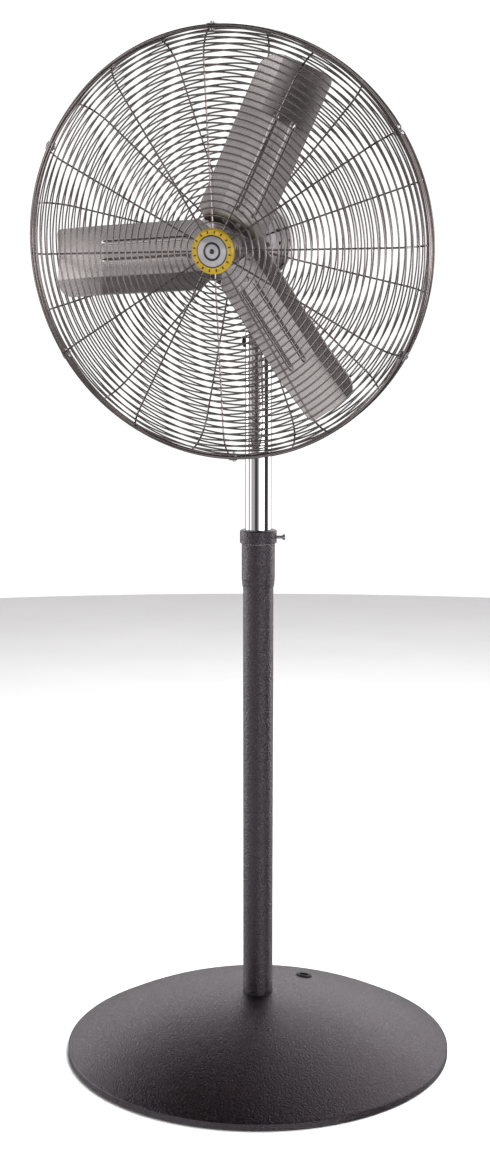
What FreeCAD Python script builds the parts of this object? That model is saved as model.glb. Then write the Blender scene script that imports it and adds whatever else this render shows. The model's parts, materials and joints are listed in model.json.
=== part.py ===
import FreeCAD, Part
import math
import os
import re
import Sketcher
from FreeCAD import Placement, Rotation, Vector

# Pedestal fan, in millimetres. +Z is up, the floor is z = 0, the column stands on the Z axis
# and the fan blows towards -Y.
#
# The head (motor, guards and blades) is drawn in its own frame: +Z is the way the air goes,
# +Y is up and +X is to the right. Its origin lies on the motor's axis, behind the motor.

DIMENSIONS = {
    # base
    "base_radius": 381, "skirt_top": 13.3, "skirt_bottom": 2, "crown_height": 115.7,
    "dome_radius": 761, "shell_wall": 3, "bead": 1.6,
    "pad_height": 3.5, "pad_radius": 14, "pad_circle": 345,
    "ballast_radius": 372, "ballast_height": 7,
    "flange_radius": 75, "flange_height": 8, "flange_hub_radius": 38, "flange_hub_height": 45,
    "flange_bolt_circle": 56, "flange_bolt": 5,
    "grommet_across": 47.8, "grommet_back": 146.2, "grommet_hole": 9.5, "grommet_radius": 16.5,
    "grommet_neck": 12.5, "grommet_lip": 3,
    # column
    "pole_radius": 29.5, "pole_wall": 3.2, "pole_foot": 21.5, "pole_top": 1017,
    "sleeve_radius": 32.2, "sleeve_bottom": 938, "sleeve_taper": 16, "sleeve_top": 1021.5,
    "bush_length": 50, "washer_top": 1022.7,
    "collar_radius": 35.7, "collar_bottom": 1023, "collar_height": 25.5, "collar_round": 3,
    "screw_height": 1034, "screw_shank": 3, "screw_head": 5.4, "screw_head_length": 5.6,
    "screw_reach": 46.5, "screw_turn": 20,
    "tube_radius": 25, "tube_wall": 1.65, "tube_bottom": 620, "tube_top": 1424.7,
    "glide_height": 20, "running": 0.1,
    # tilt pivot
    "pivot_height": 1408, "pivot_radius": 5.9, "pivot_drop": 188.8, "pivot_back": 44.1,
    "tongue_half": 9, "tongue_reach": 22, "slot_half": 9.3, "slot_drop": 24,
    "front_slot_drop": 7,
    "washer_radius": 10, "washer_face": 26.8, "knob_face": 27.1,
    "seat_drop": 83.1, "seat_thickness": 6, "seat_width": 72, "seat_back": 21, "seat_front": 106,
    # head
    "head_forward": 180, "head_height": 1574, "head_tilt": 7.78, "rim_plane": 200,
    "motor_radius": 74, "motor_wall": 2.7, "motor_back": 24, "shell_back": 48, "shell_front": 116,
    "motor_front": 131.6, "shaft_radius": 7.5, "shaft_back": 20, "shaft_front": 214,
    "bearing_radius": 17.5, "bearing_width": 11, "front_bearing": 115.5, "rear_bearing": 33,
    "core_back": 62, "core_front": 102, "core_bore": 41.5, "rotor_radius": 41,
    # guards
    "wire": 1.35, "spoke": 1.6, "rim_wire": 3, "rim_radius": 380.5, "rim_half_gap": 5.2,
    "guard_radius": 384, "shoulder": 58.4, "wire_lift": 3,
    "front_depth": 49.2, "front_first": 50.5, "front_pitch": 12.05,
    "rear_depth": 67, "rear_first": 88, "rear_pitch": 11.5, "rear_spoke_turn": 16.5,
    "plate_radius": 80, "plate_bore": 44, "plate_back": 131.8, "plate_front": 134.8,
    "centre_radius": 36, "centre_back": 243, "centre_front": 245.5,
    "badge_radius": 40, "badge_face": 255.5, "badge_back": 248.2, "badge_sheet": 1.2,
    # fan
    "blade_tip": 346, "blade_root": 30, "blade_sheet": 1.8, "blade_camber": 265,
    "blade_half": 64, "blade_pitch": 14.2, "blade_offset": 9.1, "blade_plane": 191,
    "root_half": 45, "root_wide": 50, "lead_corner": 38, "trail_corner": 10,
    "hub_radius": 27, "hub_back": 176, "hub_front": 212,
    "arm_tip": 84, "arm_sheet": 3, "arm_half": 22, "rivet": 2.9, "bow": 7.85,
}

SPOKES = 12
FRONT_RINGS = 29
REAR_RINGS = 28
CLIPS = 6
BLADE_ANGLES = (182.1, 62.1, 302.1)
X_AXIS, Y_AXIS, Z_AXIS = Vector(1, 0, 0), Vector(0, 1, 0), Vector(0, 0, 1)

doc = FreeCAD.newDocument("pedestal_fan")
sheet = doc.addObject("Spreadsheet::Sheet", "size")
for row, (alias, value) in enumerate(DIMENSIONS.items(), start=1):
    sheet.set(f"A{row}", alias)
    sheet.set(f"B{row}", str(value))
    sheet.setAlias(f"B{row}", alias)
doc.recompute()

parts = {}


# ---------------------------------------------------------------- helpers

def bound(text):
    """A formula in the sheet's own words, as FreeCAD's expressions write it."""
    return re.sub(r"[a-z_]+", lambda w: "size." + w[0] if w[0] in DIMENSIONS else w[0], str(text))


def number(text):
    return float(sheet.evalExpression(bound(text)))


def keep(label, piece, placement=None):
    """Names a finished sub-part and puts it in its place."""
    piece.Label = label
    if placement is not None:
        piece.Placement = placement.multiply(piece.Placement)
    parts[label] = piece
    return piece


def origin_feature(body, role):
    return next(f for f in body.Origin.OriginFeatures if f.Role == role)


def new_sketch(body, role, offset="0"):
    sketch = body.newObject("Sketcher::SketchObject", body.Name + "_sketch")
    sketch.AttachmentSupport = (origin_feature(body, role), [""])
    sketch.MapMode = "FlatFace"
    sketch.setExpression("AttachmentOffset.Base.z", bound(offset))
    return sketch


def pin_point(sketch, geometry, corner, vertex=1):
    """Ties one vertex of a sketch to a corner's two formulas."""
    for kind, axis, text in (("DistanceX", -2, corner[0]), ("DistanceY", -1, corner[1])):
        size = number(text)
        if abs(size) < 1e-9:
            sketch.addConstraint(Sketcher.Constraint("PointOnObject", geometry, vertex, axis))
            continue
        index = sketch.addConstraint(Sketcher.Constraint(kind, -1, 1, geometry, vertex, size))
        sketch.setExpression(f"Constraints[{index}]", bound(text))


def vertex_at(sketch, geometry, point):
    """Which end of a line or arc lies at the point."""
    return 1 if sketch.getPoint(geometry, 1).distanceToPoint(point) < 1e-6 else 2


def draw_path(sketch, corners, closed=True):
    """Lines through the corners. A third value is the radius of the arc to the next corner,
    and a fourth, "left" or "right", the side of the arc's centre."""
    points = [Vector(number(c[0]), number(c[1]), 0) for c in corners]
    spans = len(corners) if closed else len(corners) - 1
    ends = []
    for i in range(spans):
        start, end = points[i], points[(i + 1) % len(points)]
        if len(corners[i]) == 2:
            edge = Part.LineSegment(start, end)
        else:
            radius = number(corners[i][2])
            chord = end - start
            bulge = radius - math.sqrt(radius ** 2 - chord.Length ** 2 / 4)
            side = -1 if corners[i][3] == "left" else 1
            middle = (start + end) * 0.5 + Vector(-chord.y, chord.x, 0).normalize() * bulge * side
            edge = Part.Arc(start, middle, end)
        index = sketch.addGeometry(edge, False)
        ends.append((index, vertex_at(sketch, index, start), vertex_at(sketch, index, end)))
    for i in range(spans if closed else spans - 1):
        (here, _, leaving), (there, arriving, _) = ends[i], ends[(i + 1) % spans]
        sketch.addConstraint(Sketcher.Constraint("Coincident", here, leaving, there, arriving))
    for i in range(spans):
        index, arriving, leaving = ends[i]
        pin_point(sketch, index, corners[i], arriving)
        if len(corners[i]) > 2:
            limit = sketch.addConstraint(
                Sketcher.Constraint("Radius", index, number(corners[i][2])))
            sketch.setExpression(f"Constraints[{limit}]", bound(corners[i][2]))
    if not closed:
        pin_point(sketch, ends[-1][0], corners[-1], ends[-1][2])


def draw_circle(sketch, radius, x="0", y="0"):
    index = sketch.addGeometry(
        Part.Circle(Vector(number(x), number(y), 0), Z_AXIS, number(radius)), False)
    pin_point(sketch, index, (x, y), 3)
    limit = sketch.addConstraint(Sketcher.Constraint("Radius", index, number(radius)))
    sketch.setExpression(f"Constraints[{limit}]", bound(radius))


def turned(label, corners, placement=None):
    """A piece turned about Z from a closed outline of (radius, height) corners."""
    body = doc.addObject("PartDesign::Body", label)
    sketch = new_sketch(body, "XZ_Plane")
    draw_path(sketch, corners)
    spin = body.newObject("PartDesign::Revolution", label + "_turn")
    spin.Profile = sketch
    spin.ReferenceAxis = (sketch, ["V_Axis"])
    spin.Angle = 360
    doc.recompute()
    return keep(label, body, placement)


def ring_corners(inner, outer, low, high):
    return [(inner, low), (outer, low), (outer, high), (inner, high)]


def drill(body, holes, role="XY_Plane", offset="0", length=None, reverse=False):
    """Pockets round holes, each (radius, x, y), and makes sure that they cut."""
    before = body.Shape.Volume
    sketch = new_sketch(body, role, offset)
    for hole in holes:
        draw_circle(sketch, *hole)
    return pocket(body, sketch, before, length, reverse)


def pocket(body, sketch, before, length=None, reverse=False):
    cut = body.newObject("PartDesign::Pocket", body.Name + "_cut")
    cut.Profile = sketch
    cut.Reversed = reverse
    if length is None:
        cut.Type = "ThroughAll"
        cut.Midplane = True
    else:
        cut.Type = "Length"
        cut.setExpression("Length", bound(length))
    doc.recompute()
    if body.Shape.Volume > before - 1e-3:
        raise RuntimeError(body.Label + ": a pocket cut nothing")
    return cut


def around(body, feature, count):
    """Repeats a feature evenly about the body's Z axis."""
    pattern = body.newObject("PartDesign::PolarPattern", body.Name + "_pattern")
    pattern.Originals = [feature]
    pattern.Axis = (origin_feature(body, "Z_Axis"), [""])
    pattern.Angle = 360
    pattern.Occurrences = count
    body.Tip = pattern
    doc.recompute()
    return pattern


def cylinder(radius, height, x="0", y="0", z="0", direction=Z_AXIS):
    """A Part cylinder whose foot is at x, y, z and which runs along the direction."""
    piece = doc.addObject("Part::Cylinder", "rod")
    piece.setExpression("Radius", bound(radius))
    piece.setExpression("Height", bound(height))
    piece.Placement = Placement(Vector(number(x), number(y), number(z)),
                                Rotation(Z_AXIS, direction))
    return piece


def block(length, width, height, x="0", y="0", z="0"):
    piece = doc.addObject("Part::Box", "block")
    for name, text in (("Length", length), ("Width", width), ("Height", height)):
        piece.setExpression(name, bound(text))
    piece.Placement.Base = Vector(number(x), number(y), number(z))
    return piece


WIRE_SIDES = 8
SAME_AREA = math.sqrt(2 * math.pi / WIRE_SIDES / math.sin(2 * math.pi / WIRE_SIDES))


def wire_section(section, placement):
    """An eight-sided section with a round wire's area and a flat on each side."""
    outline = doc.addObject("Part::RegularPolygon", "wire_section")
    outline.Polygon = WIRE_SIDES
    outline.setExpression("Circumradius", f"{bound(section)} * {SAME_AREA}")
    outline.Placement = placement.multiply(
        Placement(Vector(), Rotation(Z_AXIS, 180 / WIRE_SIDES)))
    return outline


def swept(outline, base, axis, angle):
    sweep = doc.addObject("Part::Revolution", "wire_sweep")
    sweep.Source = outline
    sweep.Base = base
    sweep.Axis = axis
    sweep.Angle = angle
    sweep.Solid = True
    return sweep


def hoop(ring, section, height):
    """A closed ring of wire about Z."""
    across = Placement(Vector(number(ring), 0, number(height)), Rotation(X_AXIS, 90))
    return swept(wire_section(section, across), Vector(), Z_AXIS, 360)


def fused(name, pieces):
    whole = doc.addObject("Part::MultiFuse", name)
    whole.Shapes = pieces
    doc.recompute()
    return whole


def minus(name, base, tools):
    """The base without its tools."""
    tool = tools[0] if len(tools) == 1 else fused(name + "_tools", tools)
    cut = doc.addObject("Part::Cut", name)
    cut.Base = base
    cut.Tool = tool
    doc.recompute()
    return cut


def group(label, solids, placement=None):
    """Several alike pieces that share one node."""
    together = doc.addObject("Part::Compound", label)
    together.Links = solids
    doc.recompute()
    return keep(label, together, placement)


def copies(label, master, placements, placement=None):
    """Copies of one finished shape, as separate solids of one node."""
    together = doc.addObject("Part::Feature", label)
    solids = []
    for spot in placements:
        solid = master.Shape.copy()
        solid.Placement = spot.multiply(master.Shape.Placement)
        solids.append(solid)
    together.Shape = Part.makeCompound(solids)
    return keep(label, together, placement)


def polar_spots(radius, height, count, start=0.0):
    """Places on a circle about Z, each turned to face outwards along its own X."""
    spots = []
    for i in range(count):
        turn = Rotation(Z_AXIS, start + 360 / count * i)
        spots.append(Placement(turn.multVec(Vector(radius, 0, height)), turn))
    return spots


# The head's frame: tilted forwards, with its origin behind the motor.
TILT = Rotation(X_AXIS, 90 + number("head_tilt"))
AIR = TILT.multVec(Z_AXIS)
HEAD = Placement(Vector(0, -number("head_forward"), number("head_height"))
                 - AIR * number("rim_plane"), TILT)


# ---------------------------------------------------------------- base

def make_base():
    crown_at = "crown_height - dome_radius + sqrt(dome_radius ^ 2 - ({0}) ^ 2)"
    outer_rim, inner_rim = "base_radius - bead", "base_radius - shell_wall"
    hole = "pole_radius + 0.3"
    inner = "dome_radius - shell_wall"
    inner_at = "crown_height - dome_radius + sqrt((dome_radius - shell_wall) ^ 2 - ({0}) ^ 2)"
    shell = turned("base_shell", [
        (inner_rim, "skirt_bottom"), ("base_radius", "skirt_bottom"), ("base_radius", "skirt_top"),
        (outer_rim, "skirt_top + bead"), (outer_rim, crown_at.format(outer_rim), "dome_radius",
                                          "left"),
        (hole, crown_at.format(hole)),
        (hole, inner_at.format(hole), inner, "right"),
        (inner_rim, inner_at.format(inner_rim)),
    ])
    drill(shell, [("grommet_neck + 0.1", "grommet_across", "grommet_back")])

    reach = math.hypot(number("grommet_across"), number("grommet_back"))
    slope = math.asin(reach / number("dome_radius"))
    side = math.atan2(number("grommet_back"), number("grommet_across"))
    lean = Rotation(Vector(-math.sin(side), math.cos(side), 0), math.degrees(slope))
    top = number("crown_height - dome_radius") + math.sqrt(number("dome_radius") ** 2 - reach ** 2)
    seat = Vector(number("grommet_across"), number("grommet_back"), top)
    turned("base_grommet", [
        ("grommet_hole", "-shell_wall - 3"), ("grommet_neck - 0.4", "-shell_wall - 3"),
        ("grommet_neck - 0.4", "0.4"), ("grommet_radius", "0.4"),
        ("grommet_radius - 1", "grommet_lip"), ("grommet_hole + 1", "grommet_lip"),
    ], Placement(seat, lean))

    ballast = turned("base_ballast", ring_corners(
        "9", "ballast_radius", "pad_height", "pad_height + ballast_height"))
    bolt_spots = polar_spots(number("flange_bolt_circle"), 0, 4, 45)
    drill(ballast, [("flange_bolt + 0.3", str(p.Base.x), str(p.Base.y)) for p in bolt_spots])
    floor_of_flange = "pad_height + ballast_height"
    flange = turned("pole_flange", [
        ("9", floor_of_flange), ("flange_radius", floor_of_flange),
        ("flange_radius", floor_of_flange + " + flange_height"),
        ("flange_hub_radius", floor_of_flange + " + flange_height"),
        ("flange_hub_radius", floor_of_flange + " + flange_hub_height"),
        ("pole_radius + 0.05", floor_of_flange + " + flange_hub_height"),
        ("pole_radius + 0.05", "pole_foot"), ("9", "pole_foot"),
    ])
    drill(flange, [("flange_bolt + 0.3", str(p.Base.x), str(p.Base.y)) for p in bolt_spots])

    head_low = "pad_height - 2.5"
    bolt = fused("flange_bolt_master", [
        cylinder("flange_bolt + 3", "2.4", z=head_low),
        cylinder("flange_bolt", "ballast_height + flange_height + 9.5", z="pad_height - 0.1"),
    ])
    copies("flange_bolts", bolt, bolt_spots)
    nut = minus("flange_nut_master",
                cylinder("flange_bolt + 3.5", "6", z=floor_of_flange + " + flange_height"),
                [cylinder("flange_bolt + 0.02", "20", z=floor_of_flange)])
    copies("flange_nuts", nut, bolt_spots)

    pad = cylinder("pad_radius", "pad_height")
    doc.recompute()
    copies("base_pads", pad, polar_spots(number("pad_circle"), 0, 8, 22.5))


# ---------------------------------------------------------------- column

def make_column():
    bore = "pole_radius - pole_wall"
    turned("lower_pole", ring_corners(bore, "pole_radius", "pole_foot", "pole_top"))
    grip = "pole_radius + 0.05"
    turned("pole_sleeve", [
        (grip, "sleeve_bottom"), ("pole_radius + 1.2", "sleeve_bottom"),
        ("sleeve_radius", "sleeve_bottom + sleeve_taper"), ("sleeve_radius", "sleeve_top"),
        (bore, "sleeve_top"), (bore, "pole_top"), (grip, "pole_top"),
    ])
    fit = "tube_radius + running"
    turned("guide_bush", ring_corners(fit, bore + " - 0.02", "sleeve_top - bush_length",
                                      "sleeve_top"))
    turned("swivel_washer", ring_corners(fit + " + 0.2", "sleeve_radius - 1", "sleeve_top",
                                         "washer_top"))

    collar = turned("lock_collar", [
        (fit + " + 0.2", "collar_bottom"), ("collar_radius - 1", "collar_bottom"),
        ("collar_radius", "collar_bottom + 1"),
        ("collar_radius", "collar_bottom + collar_height - collar_round", "collar_round", "left"),
        ("collar_radius - collar_round", "collar_bottom + collar_height"),
        (fit + " + 2", "collar_bottom + collar_height"),
        (fit + " + 0.2", "collar_bottom + collar_height - 2"),
    ])
    hole = new_sketch(collar, "YZ_Plane")
    draw_circle(hole, "screw_shank + running", "0", "screw_height")
    before = collar.Shape.Volume
    pocket(collar, hole, before, "collar_radius + 5", reverse=True)
    turn = Rotation(Z_AXIS, number("screw_turn"))
    collar.Placement = Placement(Vector(), turn)

    screw = turned("lock_screw", [
        ("0", "tube_radius + 0.35"), ("screw_shank - 0.8", "tube_radius + 0.35"),
        ("screw_shank", "tube_radius + 1.3"), ("screw_shank", "screw_reach"),
        ("screw_head - 0.7", "screw_reach"), ("screw_head", "screw_reach + 0.7"),
        ("screw_head", "screw_reach + screw_head_length - 0.7"),
        ("screw_head - 0.7", "screw_reach + screw_head_length"),
        ("0", "screw_reach + screw_head_length"),
    ])
    screw.Placement = Placement(Vector(0, 0, number("screw_height")),
                                turn.multiply(Rotation(Y_AXIS, 90)))

    tube = turned("upper_tube", ring_corners("tube_radius - tube_wall", "tube_radius",
                                             "tube_bottom", "tube_top"))
    drill(tube, [("pivot_radius + running", "0", "pivot_height")], "YZ_Plane")
    inside = "tube_radius - tube_wall - 0.05"
    insert = turned("tube_insert", [
        ("0", "pivot_height - 30"), (inside, "pivot_height - 30"), (inside, "tube_top"),
        ("tube_radius", "tube_top"), ("tube_radius - 1", "tube_top + 2"), ("0", "tube_top + 2"),
    ])
    drill(insert, [("pivot_radius + running", "0", "pivot_height")], "YZ_Plane")
    cut_slot(tube, "front_slot_drop")
    cut_slot(insert, "slot_drop")
    turned("tube_glide", [
        ("0", "tube_bottom - glide_height"), (bore + " - 1.1", "tube_bottom - glide_height"),
        (bore + " - running", "tube_bottom - glide_height + 1"), (bore + " - running",
                                                                  "tube_bottom"),
        (inside, "tube_bottom"), (inside, "tube_bottom + 25"), ("0", "tube_bottom + 25"),
    ])


def cut_slot(piece, drop):
    """Opens the top of the mast from front to back, to a drop below the pivot, for the
    bracket's tongue."""
    before = piece.Shape.Volume
    slot = new_sketch(piece, "XZ_Plane")
    bottom, top = f"pivot_height - {drop}", "tube_top + 5"
    draw_path(slot, [("-slot_half", bottom), ("slot_half", bottom), ("slot_half", top),
                     ("-slot_half", top)])
    pocket(piece, slot, before)


# ---------------------------------------------------------------- tilt bracket

def make_bracket():
    """A seat for the motor on a tongue that sits in the mast's slot, on one pivot bolt."""
    pivot = ("-pivot_drop", "pivot_back")
    tongue = block("2 * tongue_half", "pivot_drop - seat_drop - 1", "2 * tongue_reach",
                   "-tongue_half", pivot[0], "pivot_back - tongue_reach")
    end = cylinder("tongue_reach", "2 * tongue_half", "-tongue_half", *pivot, X_AXIS)
    seat = block("seat_width", "seat_thickness", "seat_front - seat_back", "-seat_width / 2",
                 "-seat_drop - seat_thickness", "seat_back")
    holes = [cylinder("pivot_radius + running", "60", "-30", *pivot, X_AXIS)]
    for x, z in FOOT_BOLTS:
        holes.append(cylinder("4.3", "30", str(x), "-seat_drop - 20", str(z), Y_AXIS))
    frame = fused("bracket_blank", [tongue, end, seat])
    keep("tilt_bracket", minus("tilt_bracket", frame, holes), HEAD)

    mast = Placement(Vector(0, 0, number("pivot_height")), Rotation(Z_AXIS, X_AXIS))
    washer = minus("washer_master", cylinder("washer_radius", "washer_face - 20", z="20"), [
        cylinder("pivot_radius + running", "20", z="15"),
        cylinder("tube_radius + 0.03", "60", x="-30", direction=X_AXIS),
    ])
    spots = [Placement(), Placement(Vector(), Rotation(X_AXIS, 180))]
    copies("pivot_washers", washer, spots, mast)

    turned("pivot_bolt", [
        ("0", "-washer_face - 4.5"), ("7", "-washer_face - 4.5"), ("10.5", "-washer_face - 2"),
        ("10.5", "-washer_face"), ("pivot_radius", "-washer_face"),
        ("pivot_radius", "knob_face + 25"), ("0", "knob_face + 25"),
    ], mast)
    knob = turned("tilt_knob", [
        ("pivot_radius + running", "knob_face"), ("12", "knob_face"), ("13", "knob_face + 7"),
        ("21", "knob_face + 10"), ("21", "knob_face + 21"), ("18", "knob_face + 24"),
        ("pivot_radius + running", "knob_face + 24"),
    ], mast)
    before = knob.Shape.Volume
    scallop = drill(knob, [("7", "25.5", "0")], length="30", offset="knob_face", reverse=True)
    around(knob, scallop, 6)
    if knob.Shape.Volume > before - 100:
        raise RuntimeError("the knob has no finger grooves")


FOOT_BOLTS = [(-27.5, 68), (-27.5, 94), (27.5, 68), (27.5, 94)]


# ---------------------------------------------------------------- motor

def make_motor():
    case, bore = "motor_radius", "motor_radius - motor_wall"
    shell = turned("motor_shell", ring_corners(bore, case, "shell_back", "shell_front"), HEAD)
    for level in ("shell_front - 9", "shell_back + 9"):
        before = shell.Shape.Volume
        sketch = new_sketch(shell, "YZ_Plane")
        draw_path(sketch, [("-3", level + " - 5"), ("3", level + " - 5"), ("3", level + " + 5"),
                           ("-3", level + " + 5")])
        vent = pocket(shell, sketch, before, "motor_radius + 5")
        around(shell, vent, 20)

    before = shell.Shape.Volume
    sketch = new_sketch(shell, "YZ_Plane")
    for y in ("-31", "31"):
        draw_circle(sketch, "1.85", y, "79")
    pocket(shell, sketch, before, "motor_radius + 5")

    seat = "bearing_radius"
    front = turned("front_bell", [
        ("shaft_radius + 1.5", "motor_front"), ("motor_radius - 8", "motor_front"),
        ("motor_radius", "motor_front - 8"), ("motor_radius", "shell_front"),
        (bore, "shell_front"), (bore, "motor_front - 10"), ("motor_radius - 10",
                                                            "motor_front - 3.5"),
        (seat + " + 5", "motor_front - 3.5"), (seat + " + 5", "front_bearing - 1"),
        (seat, "front_bearing - 1"), (seat, "front_bearing + bearing_width"),
        ("shaft_radius + 1.5", "front_bearing + bearing_width"),
    ], HEAD)
    drill(front, [(f"{r}", str(p.Base.x), str(p.Base.y)) for r, c in ((2.1, 62), (2.6, 68))
                  for p in polar_spots(c, 0, 4, 0 if c == 62 else 45)])
    back = turned("rear_bell", [
        (seat + " - 4", "motor_back + 4"), (seat + " + 5", "motor_back"),
        ("motor_radius - 16", "motor_back"), ("motor_radius - 12", "motor_back + 6"),
        ("motor_radius - 1", "motor_back + 6"), ("motor_radius", "motor_back + 7"),
        ("motor_radius", "shell_back"), (bore, "shell_back"), (bore, "motor_back + 9.5"),
        ("motor_radius - 13.5", "motor_back + 9.5"), ("motor_radius - 17.5", "motor_back + 3.5"),
        (seat + " + 5", "motor_back + 3.5"), (seat + " + 5", "rear_bearing + bearing_width + 1"),
        (seat, "rear_bearing + bearing_width + 1"), (seat, "rear_bearing"),
        (seat + " - 4", "rear_bearing"),
    ], HEAD)
    before = back.Shape.Volume
    sketch = new_sketch(back, "XY_Plane")
    draw_path(sketch, [("30", "-3"), ("52", "-3"), ("52", "3"), ("30", "3")])
    around(back, pocket(back, sketch, before), 16)
    drill(back, [("2.6", str(p.Base.x), str(p.Base.y)) for p in polar_spots(68, 0, 4, 45)])

    stack = "bearing_width"
    outer_race = minus("race_master", cylinder("bearing_radius - 0.02", stack),
                       [cylinder("bearing_radius - 2.6", "bearing_width + 2", z="-1")])
    inner_race = minus("hub_race_master", cylinder("shaft_radius + 2.5", stack),
                       [cylinder("shaft_radius + 0.02", "bearing_width + 2", z="-1")])
    spots = [Placement(Vector(0, 0, number(z)), Rotation())
             for z in ("front_bearing", "rear_bearing")]
    copies("bearing_outer_rings", outer_race, spots, HEAD)
    copies("bearing_inner_rings", inner_race, spots, HEAD)
    ball = doc.addObject("Part::Sphere", "ball")
    ball.Radius = 2.4
    doc.recompute()
    balls = []
    for spot in spots:
        middle = spot.Base.z + number("bearing_width") / 2
        balls += polar_spots(12.45, middle, 9)
    copies("bearing_balls", ball, balls, HEAD)

    core = turned("stator_core", ring_corners("core_bore", bore + " - 0.05", "core_back",
                                              "core_front"), HEAD)
    before = core.Shape.Volume
    sketch = new_sketch(core, "XY_Plane")
    draw_path(sketch, [("39", "-2.2"), ("58", "-3.4"), ("58", "3.4"), ("39", "2.2")])
    around(core, pocket(core, sketch, before), 24)
    coil = turned("coil_master", [("43", "0"), ("61", "0"), ("63", "2"), ("61", "12"),
                                  ("58", "14"), ("47", "14"), ("43", "10")])
    parts.pop("coil_master")
    flip = Rotation(X_AXIS, 180)
    copies("stator_windings", coil, [
        Placement(Vector(0, 0, number("core_front") + 0.05), Rotation()),
        Placement(Vector(0, 0, number("core_back") - 0.05), flip)], HEAD)
    turned("rotor_core", ring_corners("shaft_radius + 0.02", "rotor_radius", "core_back",
                                      "core_front"), HEAD)
    turned("motor_shaft", [
        ("0", "rear_bearing - 3"), ("shaft_radius - 1", "rear_bearing - 3"),
        ("shaft_radius", "rear_bearing - 2"), ("shaft_radius", "shaft_front - 1"),
        ("shaft_radius - 1", "shaft_front"), ("0", "shaft_front")], HEAD)

    stud = fused("through_bolt_master", [
        cylinder("2.5", "98", z="motor_back + 5.5"),
        cylinder("4.4", "3", z="motor_back + 3"),
    ])
    spots = [Placement(p.Base, Rotation()) for p in polar_spots(68, 0, 4, 45)]
    copies("through_bolts", stud, spots, HEAD)
    drill(core, [("2.6", str(p.Base.x), str(p.Base.y)) for p in spots])


def make_foot():
    plate = block("seat_width", "4", "50", "-seat_width / 2", "-seat_drop", "55")
    saddles = [block("14", "30", "40", x, "-seat_drop + 3.5", "60") for x in ("-20", "6")]
    cuts = [cylinder("motor_radius + 0.03", "80", z="40")]
    for x, z in FOOT_BOLTS:
        cuts.append(cylinder("4.3", "30", str(x), "-seat_drop - 10", str(z), Y_AXIS))
    keep("motor_foot", minus("motor_foot", fused("foot_blank", [plate] + saddles), cuts), HEAD)

    bolt = fused("foot_bolt_master", [
        cylinder("4", "21.5", "0", "-seat_drop - 16", "0", Y_AXIS),
        cylinder("6.5", "4.5", "0", "-seat_drop + 4", "0", Y_AXIS),
    ])
    nut = minus("foot_nut_master", cylinder("7", "5.5", "0", "-seat_drop - seat_thickness - 5.5",
                                            "0", Y_AXIS),
                [cylinder("4.02", "20", "0", "-seat_drop - 20", "0", Y_AXIS)])
    spots = [Placement(Vector(x, 0, z), Rotation()) for x, z in FOOT_BOLTS]
    copies("foot_bolts", bolt, spots, HEAD)
    copies("foot_nuts", nut, spots, HEAD)


# ---------------------------------------------------------------- switch box

def make_switch_box():
    outside = block("48", "52", "52", "-108", "-26", "53")
    ears = block("2.4", "74", "24", "-71.8", "-37", "67")
    inside = [
        block("60", "47", "47", "-105.5", "-23.5", "55.5"),
        cylinder("motor_radius + 0.3", "100", z="20"),
        cylinder("3.2", "10", "-92", "6", "50"),
        cylinder("6.1", "10", "-92", "-30", "80", Y_AXIS),
        cylinder("1.9", "30", "-80", "31", "79", X_AXIS),
        cylinder("1.9", "30", "-80", "-31", "79", X_AXIS),
    ]
    keep("capacitor_cover", minus("capacitor_cover", fused("cover_blank", [outside, ears]),
                                  inside), HEAD)

    screw = fused("cover_screw_master", [
        cylinder("1.8", "7.2", "-73", "0", "79", X_AXIS),
        cylinder("3.6", "2", "-73.9", "0", "79", X_AXIS),
    ])
    spots = [Placement(Vector(0, y, 0), Rotation()) for y in (-31, 31)]
    copies("cover_screws", screw, spots, HEAD)

    turned("capacitor", [("0", "-19"), ("12", "-19"), ("12", "19"), ("11", "20"),
                         ("0", "20")],
           HEAD.multiply(Placement(Vector(-92, 0, 89), Rotation(X_AXIS, 90))))
    box = block("18", "20", "15", "-101", "-4", "55.7")
    keep("speed_switch", minus("speed_switch", box, [cylinder("3.1", "12", "-92", "6", "55")]),
         HEAD)
    turned("speed_knob", [
        ("0", "38"), ("10.5", "38"), ("12", "39.5"), ("12", "52.6"), ("3", "52.6"), ("3", "65"),
        ("0", "65"),
    ], HEAD.multiply(Placement(Vector(-92, 6, 0), Rotation())))
    turned("cord_gland", [
        ("4.2", "-21"), ("8.5", "-21"), ("8.5", "-23.4"), ("6", "-23.4"), ("6", "-26.1"),
        ("9", "-26.1"), ("9", "-32"), ("7.5", "-40"), ("4.2", "-40"),
    ], HEAD.multiply(Placement(Vector(-92, 0, 80), Rotation(X_AXIS, -90))))


# ---------------------------------------------------------------- guards

def spoke_wires(inner, plane, toward, sweep, start):
    """Straight wires from the middle with a bend over the guard's shoulder. toward is +1 when
    the bend leads to higher Z."""
    wires = []
    height = number(plane)
    flat = number("guard_radius - shoulder")
    arc = number("shoulder - wire_lift")
    for i in range(SPOKES):
        turn = Rotation(Z_AXIS, start + 360 / SPOKES * i)
        upright = turn.multiply(Rotation(Y_AXIS, 90))
        straight = doc.addObject("Part::Prism", "straight")
        straight.Polygon = WIRE_SIDES
        straight.setExpression("Circumradius", f"{bound('spoke')} * {SAME_AREA}")
        straight.setExpression("Height", bound(f"guard_radius - shoulder - {inner}"))
        straight.Placement = Placement(
            turn.multVec(Vector(number(inner), 0, height)),
            upright.multiply(Rotation(Z_AXIS, 180 / WIRE_SIDES)))
        outline = wire_section("spoke", Placement(turn.multVec(Vector(flat, 0, height)), upright))
        middle = turn.multVec(Vector(flat, 0, height + toward * arc))
        bend = swept(outline, middle, turn.multVec(Vector(0, -toward, 0)), sweep)
        wires += [straight, bend]
    return wires


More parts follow.
